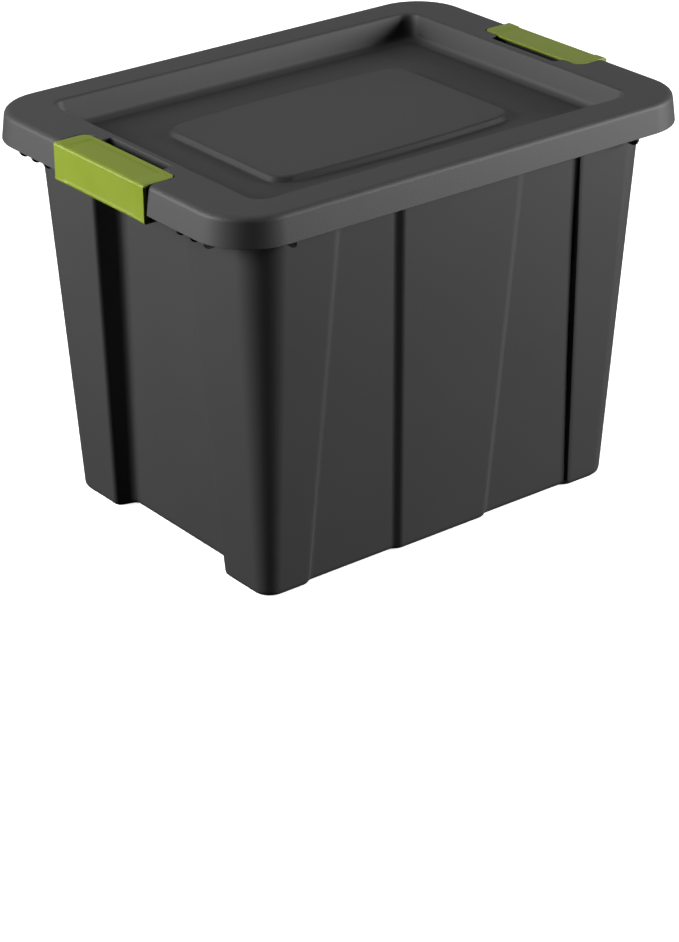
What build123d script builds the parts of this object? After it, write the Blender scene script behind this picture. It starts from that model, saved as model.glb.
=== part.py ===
"""Storage tote with a lift-off lid and two snap-over end latches.

Frame: +X along the length, +Y across the width, +Z up. The origin is the centre of the
footprint, on the surface that the tote stands on. All sizes are in millimetres.
"""
from build123d import *
from math import hypot
import os

# ---------------------------------------------------------------- driving dimensions
# Tub walls, outside
BASE_LENGTH = 482.2
BASE_WIDTH = 351.8
BASE_CORNER_R = 20.0
BASE_EDGE_R = 8.0
END_WALL_LEAN = 27.2        # outwards, over the tub's height
SIDE_WALL_LEAN = 30.2
MOUTH_CORNER_R = 41.0
TUB_HEIGHT = 447.0          # floor to the top face of the rim flange
TUB_WALL = 2.6

# Tub rim: a flange with a down-turned lip, and an upstanding bead that the lid sits on
RIM_OVERHANG_END = 33.2
RIM_OVERHANG_SIDE = 17.0
RIM_CORNER_R = 56.5
FLANGE_THICKNESS = 3.0
LIP_THICKNESS = 2.5
LIP_DEPTH = 22.0

# Shallow panels pressed into each long wall, between proud columns
PANEL_DEPTH = 5.0
PANEL_SIDE_RUN = 8.0
PANEL_INNER_AT_BASE = 58.0
PANEL_INNER_AT_TOP = 79.0
PANEL_FROM_END_AT_BASE = 55.0
PANEL_FROM_END_AT_TOP = 104.6
PANEL_TOP_BELOW_FLANGE = 8.0

# Deep grip channel in each end wall
CHANNEL_DEPTH_AT_BASE = 22.0
CHANNEL_DEPTH_AT_TOP = 28.0
CHANNEL_SIDE_SLOPE = 0.32   # sideways run of a channel side for each millimetre of depth
CHANNEL_HALF_AT_BASE = 103.0
CHANNEL_HALF_AT_TOP = 84.0
CHANNEL_INNER_R = 7.0
CHANNEL_OUTER_R = 5.0
CHANNEL_ROOF_BELOW_FLANGE = 62.0
CHANNEL_ROOF_RISE = 26.0

# Gussets under the rim
GUSSET_THICKNESS = 3.0
GUSSET_DEPTH = 36.0
GUSSET_TOE_R = 8.0
END_GUSSETS_FROM_CORNER = (0.0, 23.0, 46.0)
SIDE_GUSSET_FROM_CORNER = 0.0

# Lid
LID_WALL = 2.5
LID_CLEARANCE = 1.0         # between the tub lip and the inside of the lid skirt
LID_SEAT_GAP = 0.3          # between the bead and the underside of the lid rim
POCKET_CLEARANCE = 0.1      # between the floor of a latch pocket and the tub flange
SKIRT_DEPTH = 32.0
SKIRT_FLARE = 4.0
LID_EDGE_R = 6.0
TRAY_DEPTH = 31.0
TRAY_END_LEAN = 4.9         # outwards, over the tray's depth
TRAY_SIDE_LEAN = 7.1
TRAY_CORNER_R = 17.0
TRAY_MOUTH_R = 3.0
STACK_CLEARANCE = 2.0       # between the tray and the base of the tote stacked in it

# Raised pad in the tray, which fits up inside a hollow under the tub
PAD_LENGTH = 312.0
PAD_WIDTH = 194.0
PAD_HEIGHT = 7.0
PAD_SIDE_RUN = 9.0
PAD_CORNER_R = 20.0
PAD_BOW = 6.0
PAD_EDGE_R = 2.5
PAD_CLEARANCE = 3.0
PAD_HEADROOM = 1.0          # over the pad, in the hollow of the tote stacked on it

# Latches
LATCH_WIDTH = 161.0
LATCH_THICKNESS = 3.0
LATCH_FLAP_REACH = 41.5     # from the outer face in over the lid rim
LATCH_LIP_REACH = 20.0      # from the outer face in under the rim
LATCH_FACE_HEIGHT = 42.0
LATCH_PROUD = 6.0           # outer face beyond the lid rim's outer edge
LATCH_GAP = 1.5             # around the latch
LATCH_SEAT_GAP = 0.4        # under the flap
LATCH_BEND_R = 4.0
LATCH_CORNER_R = 10.0
LATCH_BEAD_R = 1.5
LATCH_BEAD_HEIGHT = 0.9
LATCH_BEAD_INSET = 10.0

# Latch hinge: round pins in snap-in sockets at the foot of two lugs
PIN_R = 2.5
PIN_CLEARANCE = 0.08
SOCKET_WALL = 1.6
SOCKET_GAP = 0.32           # between the socket and the inner side of the latch face
SOCKET_MOUTH_SHARE = 0.8    # the snap-in mouth, as a share of the pin's diameter
EYE_ABOVE_LIP = 0.9
LUG_FROM_LATCH_END = 28.5
LUG_WIDTH = 8.0
LUG_NECK = 7.0
LUG_DEPTH = 16.0            # at the wall
HINGE_CHEEK = 3.0
HINGE_SIDE_GAP = 0.6
HINGE_SWEEP_GAP = 2.0       # over the path of the latch lip as the latch opens

# Finger pocket in the lid rim, behind each latch flap
FINGER_LENGTH = 110.0
FINGER_REACH = 13.0         # clear of the flap's tip
FINGER_UNDERCUT = 5.0       # under the flap
FINGER_DEPTH = 14.0
FINGER_CORNER_R = 5.0
FINGER_WALL = 2.0
FINGER_NOTCH_GAP = 2.0

OVER = 12.0                 # how far a cutting solid runs past the wall that it cuts
NIP = 1.0                   # how far a solid runs past or into the one it cuts or joins

# ---------------------------------------------------------------- derived sizes
flange_top = TUB_HEIGHT
flange_under = TUB_HEIGHT - FLANGE_THICKNESS
mouth_half_x = BASE_LENGTH / 2 + END_WALL_LEAN
mouth_half_y = BASE_WIDTH / 2 + SIDE_WALL_LEAN
rim_half_x = mouth_half_x + RIM_OVERHANG_END
rim_half_y = mouth_half_y + RIM_OVERHANG_SIDE
lip_foot = TUB_HEIGHT - LIP_DEPTH

lid_under = flange_top + POCKET_CLEARANCE + LATCH_THICKNESS + LATCH_SEAT_GAP
bead_top = lid_under - LID_SEAT_GAP
lid_top = lid_under + LID_WALL
skirt_half_x = rim_half_x + LID_CLEARANCE + LID_WALL
skirt_half_y = rim_half_y + LID_CLEARANCE + LID_WALL
skirt_corner_r = RIM_CORNER_R + LID_CLEARANCE + LID_WALL
skirt_foot = lid_top - SKIRT_DEPTH
tray_floor = lid_top - TRAY_DEPTH
tray_foot_half_x = BASE_LENGTH / 2 + STACK_CLEARANCE
tray_foot_half_y = BASE_WIDTH / 2 + STACK_CLEARANCE
tray_half_x = tray_foot_half_x + TRAY_END_LEAN
tray_half_y = tray_foot_half_y + TRAY_SIDE_LEAN

pad_foot_half_x = PAD_LENGTH / 2 + PAD_SIDE_RUN
pad_foot_half_y = PAD_WIDTH / 2 + PAD_SIDE_RUN
hollow_half_x = pad_foot_half_x + PAD_CLEARANCE
hollow_half_y = pad_foot_half_y + PAD_BOW + PAD_CLEARANCE
hollow_depth = PAD_HEIGHT + PAD_HEADROOM

latch_out = skirt_half_x + LATCH_PROUD
latch_in = latch_out - LATCH_THICKNESS
flap_tip = latch_out - LATCH_FLAP_REACH
flap_under = lid_top - LATCH_THICKNESS
latch_foot = lid_top - LATCH_FACE_HEIGHT
socket_r = PIN_R + PIN_CLEARANCE
boss_r = socket_r + SOCKET_WALL
eye_r = PIN_R + SOCKET_WALL
pin_x = latch_in - SOCKET_GAP - boss_r
pin_z = latch_foot + LATCH_THICKNESS + EYE_ABOVE_LIP + eye_r
lug_y = LATCH_WIDTH / 2 - LUG_FROM_LATCH_END
pocket_half_y = LATCH_WIDTH / 2 + LATCH_GAP
pocket_floor = flap_under - LATCH_SEAT_GAP
pocket_tip = flap_tip - LATCH_GAP
pad_wall_out = latch_in - LATCH_GAP
lip_sweep = hypot(pin_x - (latch_out - LATCH_LIP_REACH), pin_z - latch_foot)
lip_relief_foot = pin_z + lip_sweep + HINGE_SWEEP_GAP
finger_in = flap_tip - FINGER_REACH
finger_out = flap_tip + FINGER_UNDERCUT
finger_floor = lid_top - FINGER_DEPTH


def tub_outline(z, inset=0.0):
    """Half length, half width and corner radius of the tub wall at height z."""
    share = z / TUB_HEIGHT
    return (
        BASE_LENGTH / 2 + END_WALL_LEAN * share - inset,
        BASE_WIDTH / 2 + SIDE_WALL_LEAN * share - inset,
        BASE_CORNER_R + (MOUTH_CORNER_R - BASE_CORNER_R) * share - inset,
    )


def slab(low, z_low, high, z_high):
    """Solid between two rounded rectangles, each given by half sizes and corner radius."""
    faces = []
    for (half_x, half_y, corner_r), z in ((low, z_low), (high, z_high)):
        faces.append(Pos(0, 0, z) * RectangleRounded(2 * half_x, 2 * half_y, corner_r))
    return loft(faces, ruled=True)


def block(x0, x1, y0, y1, z0, z1):
    """Box between two corners."""
    size = (x1 - x0, y1 - y0, z1 - z0)
    return Pos((x0 + x1) / 2, (y0 + y1) / 2, (z0 + z1) / 2) * Box(*size)


def edges_at(solid, z, tolerance=0.01):
    """Edges of a solid that lie flat at height z."""
    return solid.edges().filter_by(
        lambda edge: abs(edge.bounding_box().min.Z - z) < tolerance
        and abs(edge.bounding_box().max.Z - z) < tolerance
    )


def both_ends(solid):
    """A solid at the +X end and its mirror image at the -X end."""
    return solid + mirror(solid, about=Plane.YZ)


def both_sides(solid):
    """A solid on the +Y side and its mirror image on the -Y side."""
    return solid + mirror(solid, about=Plane.XZ)


# ---------------------------------------------------------------- tub
def panel_cutter(inset):
    """One pressed-in panel of the +X half of the rear long wall, grown by a wall thickness."""
    sections = []
    top = flange_under - PANEL_TOP_BELOW_FLANGE
    slope = PANEL_SIDE_RUN / PANEL_DEPTH
    shift = inset * hypot(slope, 1.0)
    for z in (-OVER, top + inset):
        share = z / top
        inner = PANEL_INNER_AT_BASE + (PANEL_INNER_AT_TOP - PANEL_INNER_AT_BASE) * share - shift
        from_end = PANEL_FROM_END_AT_BASE + (PANEL_FROM_END_AT_TOP - PANEL_FROM_END_AT_BASE) * share
        wall_x, wall_y, _ = tub_outline(z)
        outer = wall_x - from_end + shift
        deep = PANEL_DEPTH + inset
        outline = Polygon(
            (inner - slope * OVER, wall_y + OVER),
            (inner + slope * deep, wall_y - deep),
            (outer - slope * deep, wall_y - deep),
            (outer + slope * OVER, wall_y + OVER),
            align=None,
        )
        sections.append(Pos(0, 0, z) * outline)
    return loft(sections, ruled=True)


def channel_cutter(inset):
    """Grip channel of the +X end wall, grown by a wall thickness, with its sloped roof."""
    roof_z = flange_top - CHANNEL_ROOF_BELOW_FLANGE
    roof_slope = CHANNEL_ROOF_RISE / CHANNEL_DEPTH_AT_TOP
    roof_lift = inset * (hypot(roof_slope, 1.0) - roof_slope)
    side_shift = inset * hypot(CHANNEL_SIDE_SLOPE, 1.0)

    def section(z, deep):
        share = z / roof_z
        half = CHANNEL_HALF_AT_BASE + (CHANNEL_HALF_AT_TOP - CHANNEL_HALF_AT_BASE) * share
        wall_x = tub_outline(z)[0]
        mouth = half + CHANNEL_SIDE_SLOPE * OVER + side_shift
        back = half - CHANNEL_SIDE_SLOPE * deep + side_shift
        return Pos(0, 0, z) * Polygon(
            (wall_x + OVER, -mouth),
            (wall_x - deep, -back),
            (wall_x - deep, back),
            (wall_x + OVER, mouth),
            align=None,
        )

    deepening = (CHANNEL_DEPTH_AT_TOP - CHANNEL_DEPTH_AT_BASE) / roof_z
    low_deep = CHANNEL_DEPTH_AT_BASE - deepening * OVER + inset
    top_deep = CHANNEL_DEPTH_AT_TOP + inset
    roof_top = roof_z + roof_lift + roof_slope * (top_deep + NIP)
    low = section(-OVER, low_deep)
    bend = section(roof_z + roof_lift, top_deep)
    high = section(roof_top, -NIP)
    shaft = loft([low, bend], ruled=True)
    back_edges = shaft.edges().filter_by(
        lambda edge: edge.bounding_box().size.Z > roof_z
    ).sort_by(Axis.X)[:2]
    shaft = fillet(back_edges, CHANNEL_INNER_R + inset)
    return shaft + loft([bend, high], ruled=True)


def tub_body(inset, foot):
    """Tub outside (inset 0) or its hollow (inset = wall), from the given foot upwards."""
    body = slab(tub_outline(foot, inset), foot, tub_outline(flange_top, inset), flange_top)
    body = fillet(edges_at(body, foot), BASE_EDGE_R - inset)
    body -= both_ends(both_sides(panel_cutter(inset)))
    body -= both_ends(channel_cutter(inset))
    roof_z = flange_top - CHANNEL_ROOF_BELOW_FLANGE
    corners = body.edges().filter_by(
        lambda edge: edge.bounding_box().size.Z > roof_z / 2
        and abs(edge.center().Y) < CHANNEL_HALF_AT_BASE
        and abs(edge.center().X) > tub_outline(roof_z / 2, inset)[0] - NIP
    )
    return fillet(corners, CHANNEL_OUTER_R - inset)


def gusset(reach, lean):
    """Gusset plate in the XZ plane, its top under the flange at the wall's outside, X = 0.

    lean is how far the wall draws in over the depth of the gusset.
    """
    root = -TUB_WALL / 2
    top = flange_under + FLANGE_THICKNESS / 2
    foot = flange_under - GUSSET_DEPTH
    plate = Polygon((root, top), (root - lean, foot), (reach, foot), (reach, top), align=None)
    toe = plate.vertices().sort_by(Axis.Y)[:2].sort_by(Axis.X)[-1]
    plate = fillet(toe, GUSSET_TOE_R)
    return extrude(Plane.XZ * plate, GUSSET_THICKNESS / 2, both=True)


def hinge_lug():
    """Hinge lug of the +X end: a gusset whose toe holds the snap-in socket for the pin."""
    wall_x = tub_outline(flange_under)[0] - TUB_WALL / 2
    neck_out = rim_half_x
    top = flange_under + FLANGE_THICKNESS / 2
    plate = Polygon(
        (wall_x, top),
        (tub_outline(flange_under - LUG_DEPTH)[0] - TUB_WALL / 2, flange_under - LUG_DEPTH),
        (neck_out - LUG_NECK, pin_z + boss_r),
        (pin_x - boss_r, pin_z),
        (pin_x, pin_z),
        (neck_out, pin_z + boss_r),
        (neck_out, top),
        align=None,
    )
    plate += Pos(pin_x, pin_z) * Circle(boss_r)
    plate -= Pos(pin_x, pin_z) * Circle(socket_r)
    plate -= Pos(pin_x, pin_z - boss_r / 2) * Rectangle(2 * PIN_R * SOCKET_MOUTH_SHARE, boss_r)
    return extrude(Plane.XZ * plate, LUG_WIDTH / 2, both=True)


def make_tub():
    """Tub: tapered shell, stacking hollow in the base, rim, gussets and hinge lugs."""
    outer = tub_body(0.0, 0.0)
    rim = (rim_half_x, rim_half_y, RIM_CORNER_R)
    inside_lip = tuple(size - LIP_THICKNESS for size in rim)
    mouth = tub_outline(flange_top)
    outer += slab(rim, flange_under, rim, flange_top)
    outer += slab(rim, lip_foot, rim, flange_top) - slab(inside_lip, lip_foot, inside_lip, flange_top)
    outer += slab(mouth, flange_under, mouth, bead_top)

    wall_end_x, wall_side_y, _ = tub_outline(flange_under)
    foot_end_x, foot_side_y, _ = tub_outline(flange_under - GUSSET_DEPTH)
    end_plate = gusset(rim_half_x - LIP_THICKNESS / 2 - wall_end_x, wall_end_x - foot_end_x)
    for from_corner in END_GUSSETS_FROM_CORNER:
        y = mouth_half_y - MOUTH_CORNER_R - from_corner
        outer += both_sides(both_ends(Pos(wall_end_x, y, 0) * end_plate))
    side_plate = gusset(rim_half_y - LIP_THICKNESS / 2 - wall_side_y, wall_side_y - foot_side_y)
    side_gusset_x = mouth_half_x - MOUTH_CORNER_R - SIDE_GUSSET_FROM_CORNER
    side_plate = Pos(side_gusset_x, wall_side_y, 0) * Rot(0, 0, 90) * side_plate
    outer += both_sides(both_ends(side_plate))

    # Behind each latch the lip is shorter, and the bead stops to clear the lid's pocket
    relief_half_y = pocket_half_y + LID_WALL + LID_CLEARANCE
    relief_in = rim_half_x - 2 * LIP_THICKNESS
    relief = block(relief_in, latch_out, -relief_half_y, relief_half_y, lip_foot - NIP, lip_relief_foot)
    bead_in = mouth[0] - 2 * TUB_WALL
    bead_stop = block(bead_in, latch_out, -relief_half_y, relief_half_y, flange_top, lid_top)
    outer -= both_ends(relief + bead_stop)
    outer += both_sides(both_ends(Pos(0, lug_y, 0) * hinge_lug()))

    # The hollow, with the floor lifted over the stacking recess
    hollow = tub_body(TUB_WALL, TUB_WALL)
    throat = tub_outline(flange_top, TUB_WALL)
    hollow += slab(throat, flange_top - NIP, throat, bead_top + NIP)
    lifted = (hollow_half_x + TUB_WALL, hollow_half_y + TUB_WALL, PAD_CORNER_R + TUB_WALL)
    hollow -= slab(lifted, 0, lifted, hollow_depth + TUB_WALL)
    recess = (hollow_half_x, hollow_half_y, PAD_CORNER_R)
    tub = outer - hollow - slab(recess, -NIP, recess, hollow_depth)

    # Notch in each end of the mouth for the lid's finger pocket
    notch_half_y = FINGER_LENGTH / 2 + FINGER_WALL + FINGER_NOTCH_GAP
    notch = block(
        finger_in - FINGER_WALL - FINGER_NOTCH_GAP,
        finger_out + FINGER_WALL + FINGER_NOTCH_GAP,
        -notch_half_y,
        notch_half_y,
        finger_floor - FINGER_WALL - FINGER_NOTCH_GAP,
        lid_top,
    )
    return tub - both_ends(notch)


# ---------------------------------------------------------------- lid
def pad_outline(half_x, half_y, corner_r):
    """Rounded rectangle whose long sides bow outwards."""
    with BuildSketch() as sketch:
        with BuildLine():
            ThreePointArc((-half_x, -half_y), (0, -half_y - PAD_BOW), (half_x, -half_y))
            Line((half_x, -half_y), (half_x, half_y))
            ThreePointArc((half_x, half_y), (0, half_y + PAD_BOW), (-half_x, half_y))
            Line((-half_x, half_y), (-half_x, -half_y))
        make_face()
        fillet(sketch.vertices(), corner_r)
    return sketch.sketch


def pad_solid(inset, z_low, z_high):
    """Raised pad, or the hollow under it when inset is the lid's wall."""
    low = pad_outline(pad_foot_half_x - inset, pad_foot_half_y - inset, PAD_CORNER_R)
    high = pad_outline(PAD_LENGTH / 2 - inset, PAD_WIDTH / 2 - inset, PAD_CORNER_R)
    return loft([Pos(0, 0, z_low) * low, Pos(0, 0, z_high) * high], ruled=True)


def make_lid():
    """Lid: skirted rim, stacking tray with a raised pad, latch pockets and finger pockets."""
    rim = (skirt_half_x, skirt_half_y, skirt_corner_r)
    foot = tuple(size + SKIRT_FLARE for size in rim)
    envelope = slab(foot, skirt_foot, rim, lid_top)
    envelope = fillet(edges_at(envelope, lid_top), LID_EDGE_R)
    core_low = tuple(size - LID_WALL for size in foot)
    core_high = tuple(size - LID_WALL for size in rim)
    core = slab(core_low, skirt_foot, core_high, lid_under)
    core = fillet(edges_at(core, lid_under), LID_EDGE_R - LID_WALL)

    tray_low = (tray_foot_half_x, tray_foot_half_y, TRAY_CORNER_R)
    tray_high = (tray_half_x, tray_half_y, TRAY_CORNER_R)
    tray = slab(tray_low, tray_floor, tray_high, lid_top)
    tray = fillet(edges_at(tray, tray_floor), BASE_EDGE_R)
    shell_low = tuple(size + LID_WALL for size in tray_low)
    shell_high = tuple(size + LID_WALL for size in tray_high)
    shell = slab(shell_low, tray_floor - LID_WALL, shell_high, lid_top - LID_WALL / 2)
    shell = fillet(edges_at(shell, tray_floor - LID_WALL), BASE_EDGE_R + LID_WALL)

    lid = (envelope - core) + shell

    # Material of the latch pocket: floor, outer wall, side webs and finger pocket
    web = pocket_half_y + LID_WALL
    added = block(pocket_tip - LID_WALL, pad_wall_out, -web, web, pocket_floor - LID_WALL, lid_under + NIP)
    added += block(pad_wall_out - LID_WALL, pad_wall_out, -web, web, lip_relief_foot, lid_under)
    for side in (-1, 1):
        y_in, y_out = sorted((side * pocket_half_y, side * web))
        side_web = block(pad_wall_out - LID_WALL, latch_out, y_in, y_out, skirt_foot, lid_under + NIP)
        added += side_web & envelope
    finger_half_y = FINGER_LENGTH / 2
    added += block(
        finger_in - FINGER_WALL,
        finger_out + FINGER_WALL,
        -finger_half_y - FINGER_WALL,
        finger_half_y + FINGER_WALL,
        finger_floor - FINGER_WALL,
        lid_under + NIP,
    )
    lid += both_ends(added)
    lid -= tray
    tray_mouth = edges_at(lid, lid_top).filter_by(
        lambda edge: abs(edge.center().X) < tray_half_x + NIP and abs(edge.center().Y) < tray_half_y + NIP
    )
    lid = fillet(tray_mouth, TRAY_MOUTH_R)

    # Cuts of the latch pocket
    pocket = block(pocket_tip, latch_out + OVER, -pocket_half_y, pocket_half_y, pocket_floor, lid_top + NIP)
    pocket_corners = pocket.edges().filter_by(Axis.Z).sort_by(Axis.X)[:2]
    pocket = fillet(pocket_corners, LATCH_CORNER_R + LATCH_GAP)
    cuts = pocket + block(
        pad_wall_out, latch_out + OVER, -pocket_half_y, pocket_half_y, skirt_foot - NIP, lid_top + NIP
    )
    cuts += block(
        rim_half_x, pad_wall_out + NIP, -pocket_half_y, pocket_half_y, skirt_foot - NIP, lip_relief_foot
    )
    finger = block(finger_in, finger_out, -finger_half_y, finger_half_y, finger_floor, lid_top + NIP)
    cuts += fillet(finger.edges().filter_by(Axis.Z), FINGER_CORNER_R)
    groove_x = flap_tip + LATCH_BEAD_INSET
    groove_rise = LATCH_BEAD_R - LATCH_BEAD_HEIGHT
    groove = Pos(groove_x, 0, flap_under + groove_rise) * Rot(90, 0, 0) * Cylinder(
        LATCH_BEAD_R + LATCH_SEAT_GAP, LATCH_WIDTH / 2
    )
    cuts += groove
    lid -= both_ends(cuts)

    lid += pad_solid(0.0, tray_floor - LID_WALL / 2, tray_floor + PAD_HEIGHT)
    pad_edges = edges_at(lid, tray_floor + PAD_HEIGHT)
    lid = fillet(pad_edges, PAD_EDGE_R)
    return lid - pad_solid(LID_WALL, tray_floor - LID_WALL, tray_floor + PAD_HEIGHT - LID_WALL)


# ---------------------------------------------------------------- latch
def make_latch():
    """Latch of the +X end: a C-shaped moulding with hinge cheeks and integral pins."""
    profile = Polygon(
        (flap_tip, flap_under),
        (flap_tip, lid_top),
        (latch_out, lid_top),
        (latch_out, latch_foot),
        (latch_out - LATCH_LIP_REACH, latch_foot),
        (latch_out - LATCH_LIP_REACH, latch_foot + LATCH_THICKNESS),
        (latch_in, latch_foot + LATCH_THICKNESS),
        (latch_in, flap_under),
        align=None,
    )
    bends = profile.vertices().filter_by(lambda vertex: abs(vertex.X - latch_out) < 0.01)
    profile = fillet(bends, LATCH_BEND_R)
    latch = extrude(Plane.XZ * profile, LATCH_WIDTH / 2, both=True)
    tips = latch.edges().filter_by(Axis.Z).filter_by(lambda edge: abs(edge.center().X - flap_tip) < 0.01)
    latch = fillet(tips, LATCH_CORNER_R)

    bead = Pos(flap_tip + LATCH_BEAD_INSET, 0, flap_under + LATCH_BEAD_R - LATCH_BEAD_HEIGHT)
    latch += bead * Rot(90, 0, 0) * Cylinder(LATCH_BEAD_R, LATCH_WIDTH / 2 - 2 * LATCH_GAP)

    cheek_y = LUG_WIDTH / 2 + HINGE_SIDE_GAP
    for y in (-lug_y, lug_y):
        lip_notch = block(
            latch_out - LATCH_LIP_REACH - NIP, latch_in, y - cheek_y, y + cheek_y, latch_foot - NIP, pin_z
        )
        latch -= lip_notch
        for side in (-1, 1):
            y_in, y_out = sorted((y + side * cheek_y, y + side * (cheek_y + HINGE_CHEEK)))
            cheek = block(pin_x, latch_in + NIP, y_in, y_out, pin_z, pin_z + eye_r)
            cheek += block(pin_x - eye_r, latch_in + NIP, y_in, y_out, latch_foot + NIP, pin_z)
            eye = Pos(pin_x, (y_in + y_out) / 2, pin_z) * Rot(90, 0, 0)
            latch += cheek + eye * Cylinder(eye_r, HINGE_CHEEK)
        pin = Pos(pin_x, y, pin_z) * Rot(90, 0, 0)
        latch += pin * Cylinder(PIN_R, 2 * cheek_y + HINGE_CHEEK)
    return latch


tub = make_tub()
lid = make_lid()
latch_right = make_latch()
latch_left = mirror(latch_right, about=Plane.YZ)

os.makedirs("parts", exist_ok=True)
for name, shape in (
    ("tub", tub),
    ("lid", lid),
    ("latch_left", latch_left),
    ("latch_right", latch_right),
):
    export_step(shape, f"parts/{name}.step")
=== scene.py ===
"""Looks of the latching storage tote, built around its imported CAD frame. Metres, +Z up."""

import math

import bmesh
import bpy
from mathutils import Matrix, Vector


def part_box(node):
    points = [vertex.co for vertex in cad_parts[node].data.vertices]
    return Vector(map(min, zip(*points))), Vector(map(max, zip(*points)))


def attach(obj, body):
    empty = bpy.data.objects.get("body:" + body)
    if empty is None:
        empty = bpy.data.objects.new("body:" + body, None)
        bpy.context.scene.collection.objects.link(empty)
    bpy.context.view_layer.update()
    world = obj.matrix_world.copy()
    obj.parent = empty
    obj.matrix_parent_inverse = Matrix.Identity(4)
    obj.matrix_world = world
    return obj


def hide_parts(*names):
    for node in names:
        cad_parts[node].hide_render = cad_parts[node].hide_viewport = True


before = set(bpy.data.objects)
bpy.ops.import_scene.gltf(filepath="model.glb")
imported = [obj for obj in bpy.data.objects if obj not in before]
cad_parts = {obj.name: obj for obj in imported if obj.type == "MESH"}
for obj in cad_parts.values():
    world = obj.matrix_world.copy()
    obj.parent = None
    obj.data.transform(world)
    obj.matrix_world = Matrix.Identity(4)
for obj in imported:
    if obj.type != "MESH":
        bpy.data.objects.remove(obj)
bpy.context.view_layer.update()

# ------------------------------------------------------------------ studio
# A plain white floor under a white sky. A soft overhead light and three softboxes do the work:
# one low on the left and one low on the right light the walls beside the front corner, which
# stays dark itself, and a weak wide one behind the tote is mirrored in the lid.
FLOOR_SIZE = 60.0
FLOOR_WHITE = 0.86
FLOOR_ROUGHNESS = 0.9
FLOOR_GLOW = 0.68
OVERHEAD_TILT = (math.radians(-14), math.radians(10), 0)
OVERHEAD_POWER = 0.9
OVERHEAD_SPREAD = math.radians(60)
# Name, centre, the point it faces, width, height and power
SOFTBOXES = (
    ("left_softbox", (-1.9, 0.85, 0.95), (-0.3, 0, 0.4), 1.1, 1.1, 88),
    ("right_softbox", (2.2, -1.95, 0.8), (0.1, -0.2, 0.3), 1.4, 1.3, 160),
    ("rear_softbox", (2.2, 2.9, 1.6), (0, 0, 0.45), 4.2, 2.2, 15),
)


class Wired:
    """A shader socket that can be used in sums: each operator adds one Math node."""

    def __init__(self, tree, socket):
        self.tree = tree
        self.socket = socket

    def node(self, kind, settings, inputs, output=0):
        """Adds a node: its settings first, then the values or links of its sockets."""
        made = self.tree.nodes.new(kind)
        for name, value in settings.items():
            setattr(made, name, value)
        for name, value in inputs.items():
            if isinstance(value, Wired):
                self.tree.links.new(value.socket, made.inputs[name])
            else:
                made.inputs[name].default_value = value
        return Wired(self.tree, made.outputs[output])

    def math(self, operation, first, second):
        return self.node("ShaderNodeMath", {"operation": operation}, {0: first, 1: second})

    def __add__(self, other):
        return self.math("ADD", self, other)

    def __mul__(self, other):
        return self.math("MULTIPLY", self, other)

    __radd__ = __add__
    __rmul__ = __mul__


def new_finish(name):
    """An empty plastic material: its object-space position, as a socket, and its shader."""
    material = bpy.data.materials.new(name)
    material.use_nodes = True
    tree = material.node_tree
    tree.nodes.clear()
    place = Wired(tree, tree.nodes.new("ShaderNodeTexCoord").outputs["Object"])
    shader = tree.nodes.new("ShaderNodeBsdfPrincipled")
    output = tree.nodes.new("ShaderNodeOutputMaterial")
    tree.links.new(shader.outputs["BSDF"], output.inputs["Surface"])
    return material, place, shader


def feed(shader, name, value):
    """Links a worked-out value to one of the shader's sockets."""
    value.tree.links.new(value.socket, shader.inputs[name])


def add_softbox(name, centre, aim, width, height, power):
    """Area light at centre, facing the point aim."""
    bpy.ops.object.light_add(type="AREA", location=centre)
    light = bpy.context.object
    light.name = name
    light.data.shape = "RECTANGLE"
    light.data.size = width
    light.data.size_y = height
    light.data.energy = power
    facing = Vector(aim) - Vector(centre)
    light.rotation_euler = facing.to_track_quat("-Z", "Y").to_euler()


bpy.ops.mesh.primitive_plane_add(size=FLOOR_SIZE)
floor = bpy.context.object
floor.name = "studio_floor"
floor_white, _, floor_shader = new_finish("floor_white")
floor_shader.inputs["Base Color"].default_value = (FLOOR_WHITE, FLOOR_WHITE, FLOOR_WHITE, 1)
floor_shader.inputs["Roughness"].default_value = FLOOR_ROUGHNESS
floor_shader.inputs["Specular IOR Level"].default_value = 0.0
floor_shader.inputs["Emission Color"].default_value = (1, 1, 1, 1)
floor_shader.inputs["Emission Strength"].default_value = FLOOR_GLOW
floor.data.materials.append(floor_white)
floor.visible_diffuse = False
floor.visible_glossy = False

bpy.ops.object.light_add(type="SUN", location=(0, 0, 4), rotation=OVERHEAD_TILT)
overhead = bpy.context.object
overhead.name = "overhead_softbox"
overhead.data.energy = OVERHEAD_POWER
overhead.data.angle = OVERHEAD_SPREAD
for softbox in SOFTBOXES:
    add_softbox(*softbox)

world = bpy.data.worlds.new("studio")
bpy.context.scene.world = world
world.use_nodes = True
world.node_tree.nodes["Background"].inputs["Color"].default_value = (1, 1, 1, 1)
world.node_tree.nodes["Background"].inputs["Strength"].default_value = 1.0
world.cycles_visibility.diffuse = False
world.cycles_visibility.glossy = False
bpy.context.scene.view_settings.view_transform = "Standard"

# ------------------------------------------------------------------ camera
# Standing at the tote's front left corner, looking down on the lid.
CAMERA_PLACE = Vector((-1.82303, -2.33115, 1.49223))
CAMERA_TURN = math.radians(-37.953)
CAMERA_DOWN = math.radians(26.621)
CAMERA_ROLL = math.radians(-0.45)
CAMERA_LENS = 111.72
CAMERA_SENSOR = 36.0

camera_data = bpy.data.cameras.new("camera")
camera_data.sensor_width = CAMERA_SENSOR
camera_data.lens = CAMERA_LENS
camera = bpy.data.objects.new("camera", camera_data)
bpy.context.scene.collection.objects.link(camera)
turn = Matrix.Rotation(CAMERA_TURN, 4, "Z") @ Matrix.Rotation(math.pi / 2 - CAMERA_DOWN, 4, "X")
camera.matrix_world = Matrix.Translation(CAMERA_PLACE) @ turn @ Matrix.Rotation(CAMERA_ROLL, 4, "Z")
bpy.context.scene.camera = camera

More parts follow.
